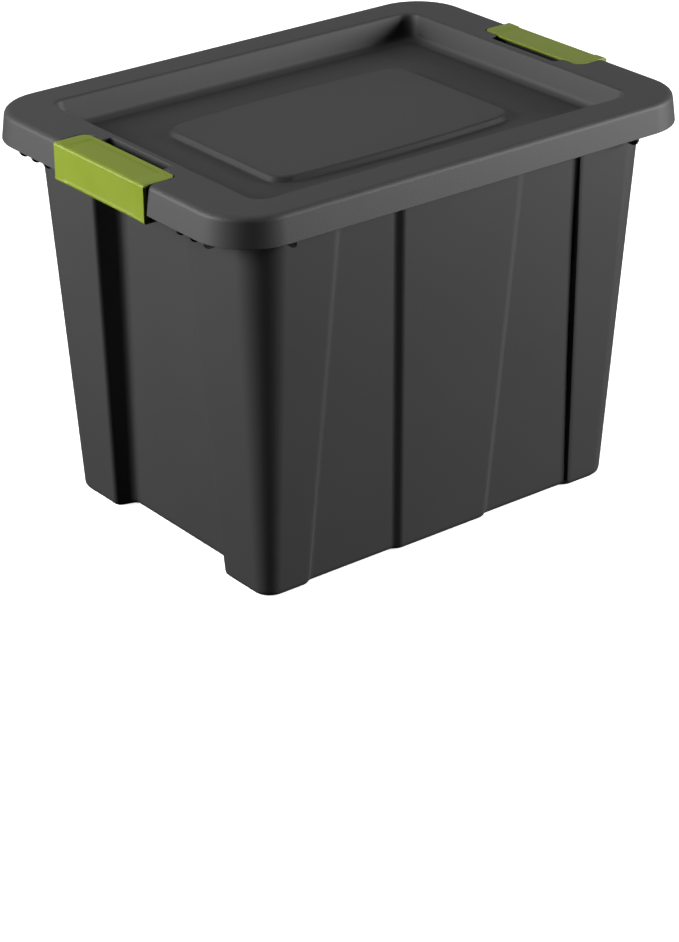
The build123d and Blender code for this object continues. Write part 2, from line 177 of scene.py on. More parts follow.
# ------------------------------------------------------------------ tub
# The tub is one deep, tapered moulding in charcoal polypropylene. Its walls are one thin sheet,
# stepped in for the side panels and the end grips. The rim is a flange with a turned-down lip,
# propped by gussets, and each end carries two hinge lugs for its latch.

# How near counts as the same place, and which parts of a direction count as along an axis,
# as across it, and as flat
TINY = 1e-5
ALONG = 0.9
ACROSS = 0.1
FLAT = 0.999
# Steps in a ring's corners and cuts in its long sides
CORNER_STEPS = 10
SIDE_CUTS = 7
SHARP = math.radians(35)
SHADING_WEIGHT = 60
GREY = (0.036, 0.036, 0.037)
MOTTLE_SCALE = 9.0
MOTTLE_SHARE = 0.08
GRAIN_DEPTH = 0.0002
TUB_WALL = 0.0026
TUB_HEIGHT = 0.447
# Half length, half width and corner radius of the base, mouth, rim and stacking recess
BASE = (0.2411, 0.1759, 0.020)
MOUTH = (0.2683, 0.2061, 0.041)
RIM = (0.3015, 0.2231, 0.0565)
RECESS = (0.168, 0.115, 0.020)
BASE_EDGE_R = 0.008
LIP_FOOT = 0.425
RECESS_DEPTH = 0.008
PANEL_TOP = 0.436
PANEL_LEDGE = 0.0005
PANEL_DEPTH = 0.005
PANEL_RUN = 0.008
# Half widths and depths that change with height: at the floor, and at the top or the roof
PANEL_INNER = (0.058, 0.079)
PANEL_OUTER = (0.1861, 0.1631)
PANEL_SOFT = 0.0024
CHANNEL_ROOF = 0.385
CHANNEL_TOP = 0.411
CHANNEL_MOUTH = (0.103, 0.084)
CHANNEL_BACK = (0.096, 0.075)
CHANNEL_DEPTH = (0.022, 0.028)
CHANNEL_INNER_SOFT = 0.0051
CHANNEL_OUTER_SOFT = 0.0037
END_ZONE = 0.15
RELIEF_HALF = 0.0855
RELIEF_FOOT = 0.4358
NOTCH_HALF = 0.059
NOTCH_FOOT = 0.435
NOTCH_OUT = 0.2785
BEAD_TOP = 0.4502
GUSSET_THICKNESS = 0.003
GUSSET_DEPTH = 0.036
GUSSET_TOE_R = 0.008
END_GUSSETS_Y = (0.1651, 0.1421, 0.1191)
SIDE_GUSSET_X = 0.2273
LUG_Y = 0.052
LUG_WIDTH = 0.008
LUG_FOOT = 0.4225
LUG_ROOT_FOOT = 0.428
LUG_NECK_X = 0.2945
PIN_X = 0.3035
PIN_Z = 0.419
EYE_R = 0.0041
SOCKET_WALL = 0.0016
SOCKET_OPENING = math.radians(42)
SOCKET_SIDES = 48
TUB_EDGE_SOFT = 0.0005


def start_piece(name):
    """An empty piece at the origin, open in edit mode, to be filled with primitives."""
    bpy.ops.object.select_all(action="DESELECT")
    piece = bpy.data.objects.new(name, bpy.data.meshes.new(name))
    bpy.context.scene.collection.objects.link(piece)
    bpy.context.view_layer.objects.active = piece
    piece.select_set(True)
    bpy.ops.object.mode_set(mode="EDIT")
    return piece


def pick(kind, test):
    """Selects the faces whose centre and normal, or edges whose centre and direction, pass."""
    bpy.ops.mesh.select_mode(type=kind)
    bpy.ops.mesh.select_all(action="DESELECT")
    data = bpy.context.object.data
    shape = bmesh.from_edit_mesh(data)
    if kind == "FACE":
        for face in shape.faces:
            face.select_set(bool(test(face.calc_center_median(), face.normal)))
    else:
        for edge in shape.edges:
            first, last = (corner.co for corner in edge.verts)
            edge.select_set(bool(test((first + last) / 2, (last - first).normalized())))
    bmesh.update_edit_mesh(data)


def add_ring(half_x, half_y, corner_r, z, bow=0.0):
    """Adds a rounded rectangle of edges, its long sides bowed out; gives its vertex numbers."""
    data = bpy.context.object.data
    first = len(bmesh.from_edit_mesh(data).verts)
    bpy.ops.mesh.select_all(action="DESELECT")
    bpy.ops.mesh.primitive_plane_add(size=2, location=(0, 0, z))
    bpy.ops.transform.resize(value=(half_x, half_y, 1), center_override=(0, 0, z))
    bpy.ops.mesh.bevel(offset=corner_r, segments=CORNER_STEPS, affect="VERTICES")
    bpy.ops.mesh.delete(type="ONLY_FACE")
    pick("EDGE", lambda at, way: abs(at.z - z) < TINY and abs(at.x) < TINY
         and abs(abs(at.y) - half_y) < TINY)
    bpy.ops.mesh.subdivide(number_cuts=SIDE_CUTS)
    shape = bmesh.from_edit_mesh(data)
    shape.verts.ensure_lookup_table()
    numbers = range(first, len(shape.verts))
    for number in numbers:
        place = shape.verts[number].co
        if abs(place.y) > half_y - TINY:
            place.y += math.copysign(bow * (1 - (place.x / half_x) ** 2), place.y)
    bmesh.update_edit_mesh(data)
    return numbers


def bridge(first, second):
    """Joins two rings, given by their vertex numbers in one order, with a band of faces.

    The bridge operator twists a band between two rings that lie in one plane.
    """
    data = bpy.context.object.data
    shape = bmesh.from_edit_mesh(data)
    shape.verts.index_update()
    shape.verts.ensure_lookup_table()
    step = second[0] - first[0]
    sides = [edge.verts[:] for edge in shape.edges if all(corner.index in first for corner in edge.verts)]
    for low, high in sides:
        shape.faces.new((low, high, shape.verts[high.index + step], shape.verts[low.index + step]))
    bmesh.update_edit_mesh(data)


def round_ring(ring, radius, segments):
    """Rounds the edges along one ring."""
    bpy.ops.mesh.select_mode(type="EDGE")
    bpy.ops.mesh.select_all(action="DESELECT")
    data = bpy.context.object.data
    shape = bmesh.from_edit_mesh(data)
    shape.verts.index_update()
    for edge in shape.edges:
        edge.select_set(all(corner.index in ring for corner in edge.verts))
    bmesh.update_edit_mesh(data)
    bpy.ops.mesh.bevel(offset=radius, segments=segments)


def move_picked(change):
    """Moves each selected vertex to the place that change gives for it."""
    data = bpy.context.object.data
    shape = bmesh.from_edit_mesh(data)
    for corner in shape.verts:
        if corner.select:
            corner.co = change(corner.co)
    bmesh.update_edit_mesh(data)


def merge_doubles():
    """Merges the corners that lie in one place, all over the piece."""
    bpy.ops.mesh.select_all(action="SELECT")
    bpy.ops.mesh.remove_doubles(threshold=TINY)
    bpy.ops.mesh.dissolve_degenerate(threshold=TINY)


def face_sheet(way):
    """Turns all faces of an open sheet to one side, with its topmost flat face up or down."""
    bpy.ops.mesh.select_all(action="SELECT")
    bpy.ops.mesh.normals_make_consistent(inside=False)
    shape = bmesh.from_edit_mesh(bpy.context.object.data)
    flat = [face for face in shape.faces if abs(face.normal.z) > FLAT]
    topmost = max(flat, key=lambda face: face.calc_center_median().z)
    if way * topmost.normal.z < 0:
        bpy.ops.mesh.flip_normals()


def thicken(wall):
    """Turns the sheet being made into a wall, growing inwards from the side that faces out."""
    bpy.ops.object.mode_set(mode="OBJECT")
    solid = bpy.context.object.modifiers.new("wall", "SOLIDIFY")
    solid.thickness = wall
    solid.offset = -1
    solid.use_even_offset = True
    bpy.ops.object.modifier_apply(modifier="wall")


def add_block(low, high):
    """Adds a box between two corners to the piece being made."""
    low, high = Vector(low), Vector(high)
    bpy.ops.mesh.primitive_cube_add(size=1, location=(low + high) / 2, scale=high - low)


def finish_piece(edge_r, segments):
    """Rounds the sharp edges that are left, and shades the piece smooth."""
    bpy.ops.object.mode_set(mode="OBJECT")
    piece = bpy.context.object
    rounding = piece.modifiers.new("edges", "BEVEL")
    rounding.width = edge_r
    rounding.segments = segments
    rounding.limit_method = "ANGLE"
    rounding.angle_limit = SHARP
    rounding.use_clamp_overlap = False
    bpy.ops.object.modifier_apply(modifier="edges")
    bpy.ops.object.shade_smooth()
    weighting = piece.modifiers.new("shading", "WEIGHTED_NORMAL")
    weighting.weight = SHADING_WEIGHT
    bpy.ops.object.modifier_apply(modifier="shading")


def charcoal_plastic(name, roughness, specular, grain_size, relief):
    """Charcoal polypropylene: a slight mottle, and the grain of the mould's surface."""
    material, place, shader = new_finish(name)
    mottle = place.node("ShaderNodeTexNoise", {}, {"Vector": place, "Scale": MOTTLE_SCALE, "Detail": 4.0})
    deep = tuple((1 - MOTTLE_SHARE) * c for c in GREY) + (1,)
    light = tuple((1 + MOTTLE_SHARE) * c for c in GREY) + (1,)
    shade = place.node("ShaderNodeMix", {"data_type": "RGBA"}, {"Factor": mottle, 6: deep, 7: light}, 2)
    feed(shader, "Base Color", shade)
    shader.inputs["Roughness"].default_value = roughness
    shader.inputs["Specular IOR Level"].default_value = specular
    noise = {"Vector": place, "Scale": grain_size, "Detail": 2.0}
    grain = place.node("ShaderNodeTexNoise", {}, noise)
    relief_inputs = {"Height": grain, "Strength": relief, "Distance": GRAIN_DEPTH}
    bump = place.node("ShaderNodeBump", {}, relief_inputs)
    feed(shader, "Normal", bump)
    return material


def between(pair, z, height):
    """The value at height z of a size that runs from pair[0] at the floor to pair[1] at height."""
    return pair[0] + (pair[1] - pair[0]) * z / height


def tub_ring(z):
    """Half length, half width and corner radius of the wall's outside at a height."""
    return tuple(between(pair, z, TUB_HEIGHT) for pair in zip(BASE, MOUTH))


def cut_picked(test, place, facing):
    """Cuts the faces that pass the test, on one plane."""
    pick("FACE", test)
    bpy.ops.mesh.bisect(plane_co=place, plane_no=facing)


def cut_leaning(test, axis, pair, height):
    """Cuts the faces that pass along two mirrored lines that lean between two heights."""
    for side in (-1, 1):
        place = Vector()
        place[axis] = side * pair[0]
        facing = Vector((0, 0, -side * (pair[1] - pair[0]) / height))
        facing[axis] = 1
        cut_picked(test, place, facing)


def press_panels(top_z):
    """Presses two panels into each long side, down through the bottom edge."""
    flat_y = BASE[1] - BASE_EDGE_R
    lip_y = RIM[1] - 2 * TUB_WALL

    def on_side(at, out):
        return flat_y < abs(at.y) < lip_y and at.z < top_z - TINY and abs(out.x) < ACROSS

    inner = (PANEL_INNER, tuple(x + PANEL_RUN for x in PANEL_INNER))
    outer = (PANEL_OUTER, tuple(x - PANEL_RUN for x in PANEL_OUTER))
    for pair in inner + outer:
        cut_leaning(on_side, 0, pair, PANEL_TOP)

    def in_panel(at, out):
        start, end = between(inner[0], at.z, PANEL_TOP), between(outer[0], at.z, PANEL_TOP)
        return on_side(at, out) and start < abs(at.x) < end

    for z in (PANEL_TOP, PANEL_TOP - PANEL_LEDGE):
        cut_picked(in_panel, (0, 0, z), (0, 0, 1))

    def on_floor(at, out):
        start, end = between(inner[1], at.z, PANEL_TOP), between(outer[1], at.z, PANEL_TOP)
        return on_side(at, out) and start < abs(at.x) < end and at.z < PANEL_TOP - PANEL_LEDGE

    pick("FACE", on_floor)
    move_picked(lambda corner: corner - Vector((0, math.copysign(PANEL_DEPTH, corner.y), 0)))

    def on_crease(at, way):
        if not flat_y + TINY < abs(at.y) < lip_y or at.z > PANEL_TOP + TINY or abs(way.x) > ALONG:
            return False
        lines = (between(pair, at.z, PANEL_TOP) for pair in inner + outer)
        return any(abs(abs(at.x) - x) < 2 * TINY for x in lines)

    pick("EDGE", on_crease)
    bpy.ops.mesh.bevel(offset=PANEL_SOFT, segments=3)
    bpy.ops.mesh.select_all(action="SELECT")
    move_picked(lambda corner: Vector((corner.x, corner.y, max(corner.z, 0))))


def press_channels(top_z):
    """Presses a grip channel into each end, down through the bottom edge, under a sloping roof."""
    flat_x = BASE[0] - BASE_EDGE_R
    lip_x = RIM[0] - 2 * TUB_WALL

    def on_end(at, out):
        return flat_x < abs(at.x) < lip_x and at.z < top_z - TINY and abs(at.y) < END_ZONE

    cut_leaning(on_end, 1, CHANNEL_MOUTH, CHANNEL_ROOF)

    def in_mouth(at, out):
        return on_end(at, out) and abs(at.y) < between(CHANNEL_MOUTH, at.z, CHANNEL_ROOF)

    for z in (CHANNEL_TOP, CHANNEL_ROOF):
        cut_picked(in_mouth, (0, 0, z), (0, 0, 1))

    def in_shaft(at, out):
        return in_mouth(at, out) and at.z < CHANNEL_ROOF

    cut_leaning(in_shaft, 1, CHANNEL_BACK, CHANNEL_ROOF)

    # Over the shaft, the roof widens from the back's corners to the mouth's
    top_half = between(CHANNEL_MOUTH, CHANNEL_TOP, CHANNEL_ROOF)
    slant = (top_half - CHANNEL_BACK[1]) / (CHANNEL_TOP - CHANNEL_ROOF)
    roof_pair = (CHANNEL_BACK[1] - slant * CHANNEL_ROOF, CHANNEL_BACK[1])
    cut_leaning(lambda at, out: in_mouth(at, out) and CHANNEL_ROOF < at.z < CHANNEL_TOP,
                1, roof_pair, CHANNEL_ROOF)
    pick("FACE", lambda at, out: in_shaft(at, out)
         and abs(at.y) < between(CHANNEL_BACK, at.z, CHANNEL_ROOF))
    move_picked(lambda corner: corner - Vector(
        (math.copysign(between(CHANNEL_DEPTH, corner.z, CHANNEL_ROOF), corner.x), 0, 0)))
    for pair, soft in ((CHANNEL_BACK, CHANNEL_INNER_SOFT), (CHANNEL_MOUTH, CHANNEL_OUTER_SOFT)):
        pick("EDGE", lambda at, way: abs(way.y) < ALONG and TINY < at.z < CHANNEL_ROOF
             and abs(at.x) > RECESS[0] + TINY
             and abs(abs(at.y) - between(pair, at.z, CHANNEL_ROOF)) < 2 * TINY)
        bpy.ops.mesh.bevel(offset=soft, segments=5)


def open_rim():
    """Shortens the lip behind the latches, and opens the mouth for the lid's finger pockets."""
    lip_x = RIM[0] - 2 * TUB_WALL
    for y in (-RELIEF_HALF, RELIEF_HALF):
        cut_picked(lambda at, out: abs(at.x) > lip_x and abs(at.y) < END_ZONE, (0, y, 0), (0, 1, 0))

    def behind_latch(at, out):
        return abs(at.x) > lip_x and abs(at.y) < RELIEF_HALF and abs(out.z) < ACROSS

    cut_picked(behind_latch, (0, 0, RELIEF_FOOT), (0, 0, 1))
    pick("FACE", lambda at, out: behind_latch(at, out) and at.z < RELIEF_FOOT)
    bpy.ops.mesh.delete(type="FACE")

    def above_grip(at, out):
        return abs(at.x) > BASE[0] and at.z > CHANNEL_TOP + TINY and abs(at.y) < END_ZONE

    for y in (-NOTCH_HALF, NOTCH_HALF):
        cut_picked(above_grip, (0, y, 0), (0, 1, 0))

    def in_notch(at, out):
        return above_grip(at, out) and abs(at.y) < NOTCH_HALF

    cut_picked(lambda at, out: in_notch(at, out) and abs(at.x) < MOUTH[0], (0, 0, NOTCH_FOOT), (0, 0, 1))
    for side in (-1, 1):
        cut_picked(lambda at, out: in_notch(at, out) and abs(out.z) > ALONG,
                   (side * NOTCH_OUT, 0, 0), (1, 0, 0))
    pick("FACE", lambda at, out: in_notch(at, out) and NOTCH_FOOT < at.z and abs(at.x) < NOTCH_OUT)
    bpy.ops.mesh.delete(type="FACE")


def add_bead():
    """The raised bead on the mouth that the lid seats on, cut away behind the latches."""
    bridge(add_ring(*MOUTH, TUB_HEIGHT - TUB_WALL / 2), add_ring(*MOUTH, BEAD_TOP))

    def on_end(at, out):
        return abs(at.x) > MOUTH[0] - TINY

    for y in (-RELIEF_HALF, RELIEF_HALF):
        cut_picked(on_end, (0, y, 0), (0, 1, 0))
    pick("FACE", lambda at, out: on_end(at, out) and abs(at.y) < RELIEF_HALF)
    bpy.ops.mesh.delete(type="FACE")
    bpy.ops.mesh.select_all(action="SELECT")
    bpy.ops.mesh.normals_make_consistent(inside=False)
    bpy.ops.mesh.solidify(thickness=TUB_WALL)


def add_gussets():
    """The plates that prop the rim flange: three beside each corner at the ends, one at the sides."""
    top_z = TUB_HEIGHT - TUB_WALL / 2
    foot_z = TUB_HEIGHT - TUB_WALL - GUSSET_DEPTH
    half = GUSSET_THICKNESS / 2
    root = tuple(size - TUB_WALL / 2 for size in tub_ring(foot_z))
    reach = tuple(size - TUB_WALL / 2 for size in RIM)
    for side_x in (-1, 1):
        for side_y in (-1, 1):
            for y in END_GUSSETS_Y:
                x_low, x_high = sorted((side_x * root[0], side_x * reach[0]))
                add_block((x_low, side_y * y - half, foot_z), (x_high, side_y * y + half, top_z))
            x = side_x * SIDE_GUSSET_X
            y_low, y_high = sorted((side_y * root[1], side_y * reach[1]))
            add_block((x - half, y_low, foot_z), (x + half, y_high, top_z))
    lean = tuple(top - foot for top, foot in zip(tub_ring(top_z), tub_ring(foot_z)))
    for axis in (0, 1):
        pick("EDGE", lambda at, way: abs(way[1 - axis]) > ALONG and abs(at.z - top_z) < TINY
             and abs(abs(at[axis]) - root[axis]) < TINY)
        step = Vector((lean[0], 0, 0)) if axis == 0 else Vector((0, lean[1], 0))
        move_picked(lambda corner: corner + math.copysign(1, corner[axis]) * step)
        pick("EDGE", lambda at, way: abs(way[1 - axis]) > ALONG and abs(at.z - foot_z) < TINY
             and abs(abs(at[axis]) - reach[axis]) < TINY)
        bpy.ops.mesh.bevel(offset=GUSSET_TOE_R, segments=6)


def add_lugs():
    """The hinge lugs of both ends, each a plate whose toe holds an open snap-in socket."""
    top_z = TUB_HEIGHT - TUB_WALL / 2
    root_x = tub_ring(LUG_ROOT_FOOT)[0] - TUB_WALL / 2
    half = LUG_WIDTH / 2
    for side in (-1, 1):
        for y in (-LUG_Y, LUG_Y):
            x_low, x_high = sorted((side * root_x, side * RIM[0]))
            add_block((x_low, y - half, LUG_FOOT), (x_high, y + half, top_z))
    for side in (-1, 1):
        cut_picked(lambda at, out: abs(abs(at.y) - LUG_Y) < half + TINY and side * at.x > 0
                   and at.z < top_z + TINY, (side * LUG_NECK_X, 0, 0), (1, 0, 0))
    pick("EDGE", lambda at, way: abs(way.y) > ALONG and abs(at.z - LUG_FOOT) < TINY
         and abs(abs(at.x) - root_x) < TINY)
    bpy.ops.transform.translate(value=(0, 0, LUG_ROOT_FOOT - LUG_FOOT))
    for side in (-1, 1):
        for y in (-LUG_Y, LUG_Y):
            bpy.ops.mesh.select_all(action="DESELECT")
            bpy.ops.mesh.primitive_cylinder_add(
                vertices=SOCKET_SIDES, radius=EYE_R, depth=LUG_WIDTH, end_fill_type="NOTHING",
                location=(side * PIN_X, y, PIN_Z), rotation=(math.pi / 2, 0, 0)
            )

    def on_socket(at, out):
        return abs(out.y) < ACROSS and abs(math.hypot(abs(at.x) - PIN_X, at.z - PIN_Z) - EYE_R) < 3 * TINY

    pick("FACE", lambda at, out: on_socket(at, out) and -out.z > math.cos(SOCKET_OPENING))
    bpy.ops.mesh.delete(type="FACE")
    pick("FACE", on_socket)
    bpy.ops.mesh.solidify(thickness=SOCKET_WALL)


def make_tub():
    """The tub's outer surface, pressed and cut open, then its wall and what stands on it."""
    under_z = TUB_HEIGHT - TUB_WALL
    tub = start_piece("tub_moulding")
    rim = tuple(size - TUB_WALL for size in RIM)
    top = tub_ring(under_z)
    shoulder = tuple(size + TUB_WALL / 4 for size in top)
    sizes = ((RECESS, RECESS_DEPTH), (RECESS, 0.0), (BASE, 0.0), (top, under_z), (shoulder, under_z),
             (rim, under_z), (rim, LIP_FOOT))
    rings = [add_ring(*size, z) for size, z in sizes]
    for first, second in zip(rings, rings[1:]):
        bridge(first, second)
    pick("EDGE", lambda at, way: abs(at.z - RECESS_DEPTH) < TINY and abs(way.z) < TINY)
    bpy.ops.mesh.edge_face_add()
    round_ring(rings[2], BASE_EDGE_R, 5)
    press_panels(under_z)
    press_channels(under_z)
    open_rim()
    merge_doubles()
    face_sheet(-1)
    thicken(TUB_WALL)

    bpy.ops.object.mode_set(mode="EDIT")
    bpy.ops.mesh.select_all(action="SELECT")
    bpy.ops.mesh.hide()
    add_bead()
    bpy.ops.mesh.select_all(action="SELECT")
    bpy.ops.mesh.hide()
    add_gussets()
    add_lugs()
    bpy.ops.mesh.select_all(action="SELECT")
    bpy.ops.mesh.normals_make_consistent(inside=False)
    bpy.ops.mesh.reveal(select=False)
    finish_piece(TUB_EDGE_SOFT, 2)
    return tub


tub = make_tub()
tub_plastic = charcoal_plastic("charcoal_tub", roughness=0.42, specular=0.5, grain_size=1400.0, relief=0.25)
tub.data.materials.append(tub_plastic)
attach(tub, "tub")
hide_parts("tub")

# ------------------------------------------------------------------ lid
# The lid is one thin-walled moulding in the same polypropylene, with a coarser grain: a skirted
# rim, a sunken tray that the next tote stands in, and a raised pad on the tray's floor. Each
# end has a pocket for the latch's flap, with a deeper finger pocket to pull the flap up by.
LID_WALL = 0.0025
SKIRT_DEPTH = 0.032
SKIRT_FLARE = 0.004
SKIRT_CORNER_R = 0.060
LID_EDGE_R = 0.006
TRAY_MOUTH = (0.248, 0.185, 0.017)
TRAY_FOOT = (0.2431, 0.1779, 0.017)
TRAY_DEPTH = 0.031
TRAY_MOUTH_R = 0.003
TRAY_FOOT_R = 0.008
PAD_FOOT = (0.1615, 0.1025, 0.020)
PAD_TOP = (0.158, 0.099, 0.020)
PAD_HEIGHT = 0.007
PAD_BOW = 0.006
PAD_EDGE_R = 0.0022
PAD_FOOT_R = 0.0015
POCKET_HALF = 0.082
POCKET_TIP = 0.268
POCKET_DEPTH = 0.0034
POCKET_CORNER_R = 0.0115
POCKET_WALL_X = 0.3048
POCKET_WALL_FOOT = 0.4358
FINGER_X = (0.2565, 0.2745)
FINGER_HALF = 0.055
FINGER_FLOOR = 0.439
FINGER_CORNER_R = 0.005
GROOVE_X = 0.2795
GROOVE_HALF = 0.0021
GROOVE_DEPTH = 0.0012
LID_EDGE_SOFT = 0.0006


def push(move):
    """Extrudes the selected faces, and moves the new ones."""
    bpy.ops.mesh.extrude_region_move(TRANSFORM_OT_translate={"value": move})


def picked_x():
    """Where the selected corners stand along X."""
    shape = bmesh.from_edit_mesh(bpy.context.object.data)
    return next(corner.co.x for corner in shape.verts if corner.select)


def make_lid():
    """The lid's outer surface, ring by ring from the skirt's foot to the pad, then its wall."""
    _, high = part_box("lid")
    top_z = high.z
    tray_z = top_z - TRAY_DEPTH
    rim = (high.x - SKIRT_FLARE, high.y - SKIRT_FLARE, SKIRT_CORNER_R)
    lid = start_piece("lid_moulding")
    foot = add_ring(high.x, high.y, SKIRT_CORNER_R + SKIRT_FLARE, top_z - SKIRT_DEPTH)
    edge = add_ring(*rim, top_z)
    mouth = add_ring(*TRAY_MOUTH, top_z)
    floor_edge = add_ring(*TRAY_FOOT, tray_z)
    pad_foot = add_ring(*PAD_FOOT, tray_z, PAD_BOW)
    pad_top = add_ring(*PAD_TOP, tray_z + PAD_HEIGHT, PAD_BOW)
    rings = (foot, edge, mouth, floor_edge, pad_foot, pad_top)
    for first, second in zip(rings, rings[1:]):
        bridge(first, second)
    pick("EDGE", lambda at, way: at.z > tray_z + PAD_HEIGHT - TINY and abs(at.x) < PAD_TOP[0] + TINY
         and abs(at.y) < PAD_TOP[1] + PAD_BOW + TINY)
    bpy.ops.mesh.edge_face_add()
    # The last ring first, as rounding a ring renumbers those after it
    round_ring(pad_top, PAD_EDGE_R, 4)
    round_ring(pad_foot, PAD_FOOT_R, 3)
    round_ring(floor_edge, TRAY_FOOT_R, 5)
    round_ring(mouth, TRAY_MOUTH_R, 4)
    round_ring(edge, LID_EDGE_R, 6)

    # The latch pockets: the rim's end strips go down, and their skirt is cut short
    pocket_z = top_z - POCKET_DEPTH

    def on_end(at, out):
        return abs(at.x) > TRAY_MOUTH[0] + TRAY_MOUTH_R

    def in_pocket(at, out):
        return on_end(at, out) and abs(at.y) < POCKET_HALF

    for y in (-POCKET_HALF, POCKET_HALF):
        cut_picked(on_end, (0, y, 0), (0, 1, 0))
    for side in (-1, 1):
        cut_picked(lambda at, out: in_pocket(at, out) and side * at.x > 0,
                   (side * POCKET_TIP, 0, 0), (1, 0, 0))
    pick("FACE", lambda at, out: in_pocket(at, out) and abs(at.x) > rim[0] - LID_EDGE_R)
    bpy.ops.mesh.delete(type="FACE")
    pick("FACE", lambda at, out: in_pocket(at, out) and abs(at.x) > POCKET_TIP)
    push((0, 0, -POCKET_DEPTH))
    pick("FACE", lambda at, out: in_pocket(at, out) and abs(out.x) > ALONG
         and abs(at.x) > POCKET_TIP + TINY)
    bpy.ops.mesh.delete(type="FACE")
    for side in (-1, 1):
        pick("EDGE", lambda at, way: abs(way.y) > ALONG and abs(at.z - pocket_z) < TINY
             and side * at.x > POCKET_TIP + TINY)
        reach = side * POCKET_WALL_X - picked_x()
        for move in ((reach, 0, 0), (0, 0, POCKET_WALL_FOOT - pocket_z)):
            bpy.ops.mesh.extrude_edges_move(TRANSFORM_OT_translate={"value": move})
    pick("EDGE", lambda at, way: abs(way.z) > ALONG and abs(abs(at.x) - POCKET_TIP) < TINY
         and abs(abs(at.y) - POCKET_HALF) < TINY)
    bpy.ops.mesh.bevel(offset=POCKET_CORNER_R, segments=6)

    # The finger pockets, half in the rim and half under the flap
    def in_finger_strip(at, out):
        return on_end(at, out) and abs(at.y) < FINGER_HALF

    for y in (-FINGER_HALF, FINGER_HALF):
        cut_picked(in_pocket, (0, y, 0), (0, 1, 0))
    for side in (-1, 1):
        for x in FINGER_X:
            cut_picked(lambda at, out: in_finger_strip(at, out) and side * at.x > 0,
                       (side * x, 0, 0), (1, 0, 0))
    pick("FACE", lambda at, out: abs(at.y) < FINGER_HALF and FINGER_X[0] < abs(at.x) < FINGER_X[1])
    push((0, 0, 0))
    move_picked(lambda corner: Vector((corner.x, corner.y, FINGER_FLOOR)))
    merge_doubles()
    pick("EDGE", lambda at, way: abs(way.z) > ALONG and abs(abs(at.y) - FINGER_HALF) < TINY
         and min(abs(abs(at.x) - x) for x in FINGER_X) < TINY)
    bpy.ops.mesh.bevel(offset=FINGER_CORNER_R, segments=5)

    # A groove across each pocket's floor takes the latch's snap bead
    def beside_finger(at, out):
        return abs(at.y) < POCKET_HALF and abs(at.x) > FINGER_X[1] and abs(at.z - pocket_z) < TINY

    for side in (-1, 1):
        for x in (GROOVE_X - GROOVE_HALF, GROOVE_X, GROOVE_X + GROOVE_HALF):
            cut_picked(lambda at, out: beside_finger(at, out) and side * at.x > 0,
                       (side * x, 0, 0), (1, 0, 0))
    pick("EDGE", lambda at, way: abs(way.y) > ALONG and abs(abs(at.x) - GROOVE_X) < TINY
         and abs(at.z - pocket_z) < TINY)
    bpy.ops.transform.translate(value=(0, 0, -GROOVE_DEPTH))

    face_sheet(1)
    thicken(LID_WALL)
    finish_piece(LID_EDGE_SOFT, 2)
    return lid


lid = make_lid()
lid_plastic = charcoal_plastic("charcoal_lid", roughness=0.58, specular=0.3, grain_size=700.0, relief=0.6)
lid.data.materials.append(lid_plastic)
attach(lid, "lid")
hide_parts("lid")

# ------------------------------------------------------------------ latches
# Each end has one snap-over latch: a C-shaped moulding in lime green polypropylene. Its flap
# lies in a pocket of the lid, its lip hooks in under the rim, and the two pins moulded between
# its cheeks clip into the tub's lugs.
LATCH_WALL = 0.003
LATCH_LIP_REACH = 0.020
FLAP_CORNER_R = 0.010
LATCH_BEND_R = 0.004
DISH_FROM_END = 0.0165
DISH_FROM_EDGE = 0.0055
DISH_SLOPE = 0.0013
DISH_DEPTH = 0.0008
PIN_R = 0.0025
LUG_CLEAR = 0.0046
CHEEK = 0.003
RETURN_X = 0.3054
RETURN_WALL = 0.002
RETURN_INSET = 0.0001
SNAP_BEAD_R = 0.0015
SNAP_BEAD_INSET = 0.010
SNAP_BEAD_SINK = 0.0006
LATCH_EDGE_SOFT = 0.0007
ROD_SIDES = 32
GREEN = (0.15, 0.2, 0.006)


def lime_plastic():
    """Lime green polypropylene, with a slight mottle and the fine grain of the mould."""
    material, place, shader = new_finish("lime_plastic")
    mottle = place.node("ShaderNodeTexNoise", {}, {"Vector": place, "Scale": 24.0, "Detail": 5.0})
    deep = tuple(0.93 * c for c in GREEN) + (1,)
    light = tuple(1.07 * c for c in GREEN) + (1,)
    shade = place.node("ShaderNodeMix", {"data_type": "RGBA"}, {"Factor": mottle, 6: deep, 7: light}, 2)
    feed(shader, "Base Color", shade)
    feed(shader, "Roughness", 0.42 + 0.12 * mottle)
    shader.inputs["Specular IOR Level"].default_value = 0.35
    grain = place.node("ShaderNodeTexNoise", {}, {"Vector": place, "Scale": 1500.0, "Detail": 2.0})
    bump = place.node("ShaderNodeBump", {}, {"Height": grain, "Strength": 0.2, "Distance": GRAIN_DEPTH})
    feed(shader, "Normal", bump)
    return material


def cut_all(places, facing):
    """Cuts new edges through the whole piece, on a plane at each place."""
    for place in places:
        bpy.ops.mesh.select_all(action="SELECT")
        bpy.ops.mesh.bisect(plane_co=place, plane_no=facing)


def add_rod(centre, radius, length):
    """Adds a rod that lies along Y to the piece being made."""
    bpy.ops.mesh.primitive_cylinder_add(
        vertices=ROD_SIDES, radius=radius, depth=length, location=centre, rotation=(math.pi / 2, 0, 0)
    )


